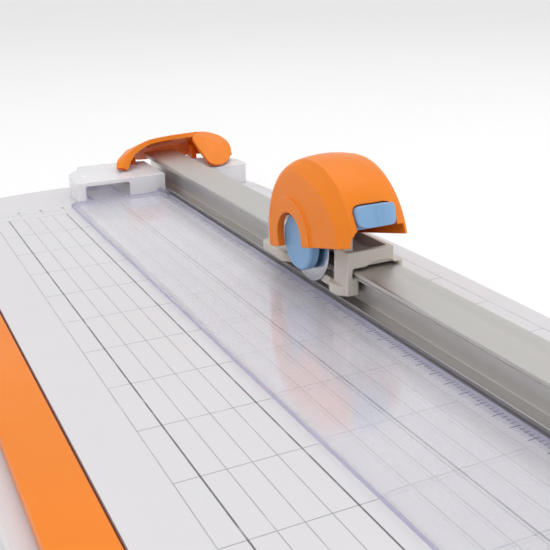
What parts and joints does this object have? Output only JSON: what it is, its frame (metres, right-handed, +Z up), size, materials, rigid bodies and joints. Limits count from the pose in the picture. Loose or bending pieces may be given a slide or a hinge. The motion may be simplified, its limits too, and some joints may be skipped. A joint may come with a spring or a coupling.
{
  "type": "rotary paper trimmer",
  "caption": "Rotary paper trimmer: ruled bed, metal rail with a sliding press-down wheel cutter, clear paper clamp with flip lever and swing-out ruler arm.",
  "frame": {"origin": "on the desk plane, under the middle of the whole object's bounding box", "axes": "+X across the bed from the ruled side to the cut-off side, +Y along the cutting rail towards the clamp lever, +Z up"},
  "size_m": [0.173, 0.4088, 0.0622],
  "materials": {
    "white_plastic": "fine satin moulding texture",
    "orange_plastic": "semi-gloss moulded",
    "blue_plastic": "satin moulded",
    "warm_grey_plastic": "satin moulded",
    "dark_plastic": "matt moulded",
    "clear_plastic": "clear moulded plastic",
    "milky_plastic": "translucent moulded plastic",
    "rail_aluminium": "satin anodised, drawn along its length",
    "steel": "plated",
    "blade_steel": "ground, polished edge",
    "rubber_feet": "matt",
    "cutting_mat": "soft scored strip"
  },
  "bodies": {
    "base": {"base_shell": "white_plastic", "foot_far_left": "rubber_feet", "foot_far_right": "rubber_feet", "foot_near_left": "rubber_feet", "foot_near_right": "rubber_feet", "cutting_mat_strip": "cutting_mat", "scrap_side_plate": "white_plastic", "rail_extrusion": "rail_aluminium", "rail_screw_far": "steel", "rail_screw_near": "steel", "block_screw_far_left": "steel", "block_screw_far_right": "steel", "block_screw_near_left": "steel", "block_screw_near_right": "steel", "end_block_far": "milky_plastic", "end_block_near": "milky_plastic", "clamp_pin_far": "steel", "clamp_pin_near": "steel", "lever_pin_left": "steel", "lever_pin_right": "steel", "arm_pivot_screw": "steel"},
    "swing_arm": {"swing_arm": "orange_plastic"},
    "paper_clamp": {"paper_clamp": "clear_plastic"},
    "clamp_lever": {"clamp_lever": "orange_plastic"},
    "carriage": {"carriage_frame": "warm_grey_plastic", "glide_pad_near": "dark_plastic", "glide_pad_far": "dark_plastic", "press_spring_near": "steel", "press_spring_far": "steel"},
    "cutting_head": {"head_cover": "orange_plastic", "blade_holder": "dark_plastic", "blade_axle": "steel", "button_spring": "steel"},
    "blade_set": {"blade": "blade_steel", "blade_hub": "blue_plastic", "blade_washer": "steel"},
    "release_button": {"release_button": "blue_plastic"}
  },
  "joints": [
    {"name": "arm_swing", "type": "hinge", "parent": "base", "child": "swing_arm", "pos_m": [-0.0735, 0.1653, 0.0114], "axis": [0, 0, -1], "range_deg": [0, 90]},
    {"name": "lever_flip", "type": "hinge", "parent": "base", "child": "clamp_lever", "pos_m": [0.0435, 0.1918, 0.0208], "axis": [-1, 0, 0], "range_deg": [0, 60]},
    {"name": "clamp_tilt", "type": "hinge", "parent": "base", "child": "paper_clamp", "pos_m": [0.0301, -0.0027, 0.0159], "axis": [0, 1, 0], "range_deg": [0, 6]},
    {"name": "carriage_slide", "type": "slide", "parent": "base", "child": "carriage", "axis": [0, 1, 0], "range_m": [-0.1481, 0.1135]},
    {"name": "head_press", "type": "slide", "parent": "carriage", "child": "cutting_head", "axis": [0, 0, -1], "range_m": [0, 0.0036], "stiffness_N_per_m": 900, "springref_m": -0.003, "deforming": ["press_spring_near", "press_spring_far"]},
    {"name": "blade_spin", "type": "hinge", "parent": "cutting_head", "child": "blade_set", "pos_m": [0.03205, 0.0101, 0.0317], "axis": [1, 0, 0], "continuous": true},
    {"name": "button_push", "type": "slide", "parent": "cutting_head", "child": "release_button", "axis": [0, 0.9694, -0.2453], "range_m": [0, 0.0025], "stiffness_N_per_m": 400, "springref_m": -0.002, "deforming": ["button_spring"]}
  ],
  "couplings": [
    {"joint": "clamp_tilt", "follows": "lever_flip", "ratio": 0.1}
  ]
}
